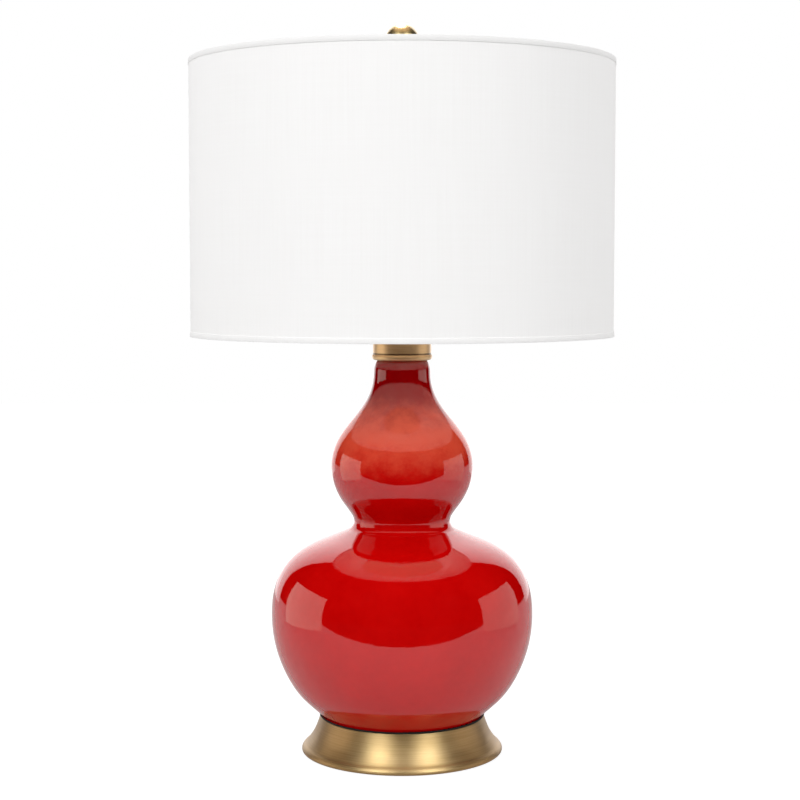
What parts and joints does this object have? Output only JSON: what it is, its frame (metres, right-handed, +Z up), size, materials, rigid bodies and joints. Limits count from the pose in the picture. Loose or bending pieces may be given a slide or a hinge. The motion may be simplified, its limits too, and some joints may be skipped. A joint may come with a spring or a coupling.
{
  "type": "table lamp",
  "caption": "Table lamp with a double-gourd ceramic body on a spun metal base, a drum shade on a harp, a screw socket with a turn switch and a ball finial.",
  "frame": {"origin": "on the floor at the lamp's axis, under the felt", "axes": "+Z up along the lamp's axis, -Y to the front (the side away from the cord inlet), +X to the right seen from the front"},
  "size_m": [0.4081, 0.4082, 0.7045],
  "materials": {
    "felt": "matt felt",
    "steel": "zinc plated",
    "iron": "cast",
    "rubber": "matt black",
    "brass": "antique brushed",
    "glaze": "gloss red glaze on earthenware",
    "fabric": "white linen weave",
    "liner": "white styrene",
    "trim": "white woven tape",
    "phenolic": "moulded black",
    "card": "insulating card",
    "aluminium": "plain",
    "bulb_glass": "frosted",
    "wood": "plain turned"
  },
  "bodies": {
    "stand": {"felt_pad": "felt", "base_plate": "steel", "base_skirt": "brass", "base_weight": "iron", "base_washer": "steel", "base_lock_nut": "steel", "base_gasket": "rubber", "cord_bushing": "phenolic", "threaded_rod": "steel", "gourd_body": "glaze", "neck_plug": "wood", "vase_cap": "brass", "cap_nut": "steel", "harp_saddle": "brass", "socket_cap": "brass", "socket_set_screw": "steel", "socket_shell": "brass", "socket_liner": "card", "socket_core": "phenolic", "terminal_screws": "brass", "screw_shell": "aluminium", "centre_contact": "brass"},
    "switch": {"switch_knob": "phenolic", "switch_stem": "brass"},
    "harp": {"harp_wire": "brass"},
    "ferrule_left": {"ferrule_left": "brass"},
    "ferrule_right": {"ferrule_right": "brass"},
    "harp_swivel": {"harp_stud": "brass"},
    "shade": {"shade_fabric": "fabric", "shade_liner": "liner", "top_trim": "trim", "bottom_trim": "trim", "shade_spider": "steel", "bottom_ring": "steel"},
    "finial_insert": {"finial_insert": "brass"},
    "finial": {"finial_ball": "brass"},
    "bulb_tip": {"bulb_tip": "steel"},
    "bulb": {"bulb_insulator": "phenolic", "bulb_cap": "aluminium", "bulb_glass": "bulb_glass"}
  },
  "joints": [
    {"name": "switch_turn", "type": "hinge", "parent": "stand", "child": "switch", "pos_m": [0, -0.02, 0.431], "axis": [0, -1, 0], "continuous": true},
    {"name": "harp_lift", "type": "slide", "parent": "stand", "child": "harp", "axis": [0, 0, 1], "range_m": [0, 0.15]},
    {"name": "ferrule_left_lift", "type": "slide", "parent": "harp", "child": "ferrule_left", "axis": [0, 0, 1], "range_m": [0, 0.014]},
    {"name": "ferrule_right_lift", "type": "slide", "parent": "harp", "child": "ferrule_right", "axis": [0, 0, 1], "range_m": [0, 0.014]},
    {"name": "shade_turn", "type": "hinge", "parent": "harp", "child": "harp_swivel", "pos_m": [0, 0, 0.651], "axis": [0, 0, 1], "continuous": true},
    {"name": "shade_lift", "type": "slide", "parent": "harp_swivel", "child": "shade", "axis": [0, 0, 1], "range_m": [0, 0.3]},
    {"name": "finial_rise", "type": "slide", "parent": "shade", "child": "finial_insert", "axis": [0, 0, 1], "range_m": [0, 0.0114]},
    {"name": "finial_turn", "type": "hinge", "parent": "finial_insert", "child": "finial", "pos_m": [0, 0, 0.67], "axis": [0, 0, 1], "range_deg": [0, 4320]},
    {"name": "bulb_rise", "type": "slide", "parent": "stand", "child": "bulb_tip", "axis": [0, 0, 1], "range_m": [0, 0.0185]},
    {"name": "bulb_turn", "type": "hinge", "parent": "bulb_tip", "child": "bulb", "pos_m": [0, 0, 0.47], "axis": [0, 0, 1], "range_deg": [0, 1800]}
  ],
  "couplings": [
    {"joint": "finial_rise", "follows": "finial_turn", "m_per_rad": 0.0001497},
    {"joint": "bulb_rise", "follows": "bulb_turn", "m_per_rad": 0.000578}
  ]
}
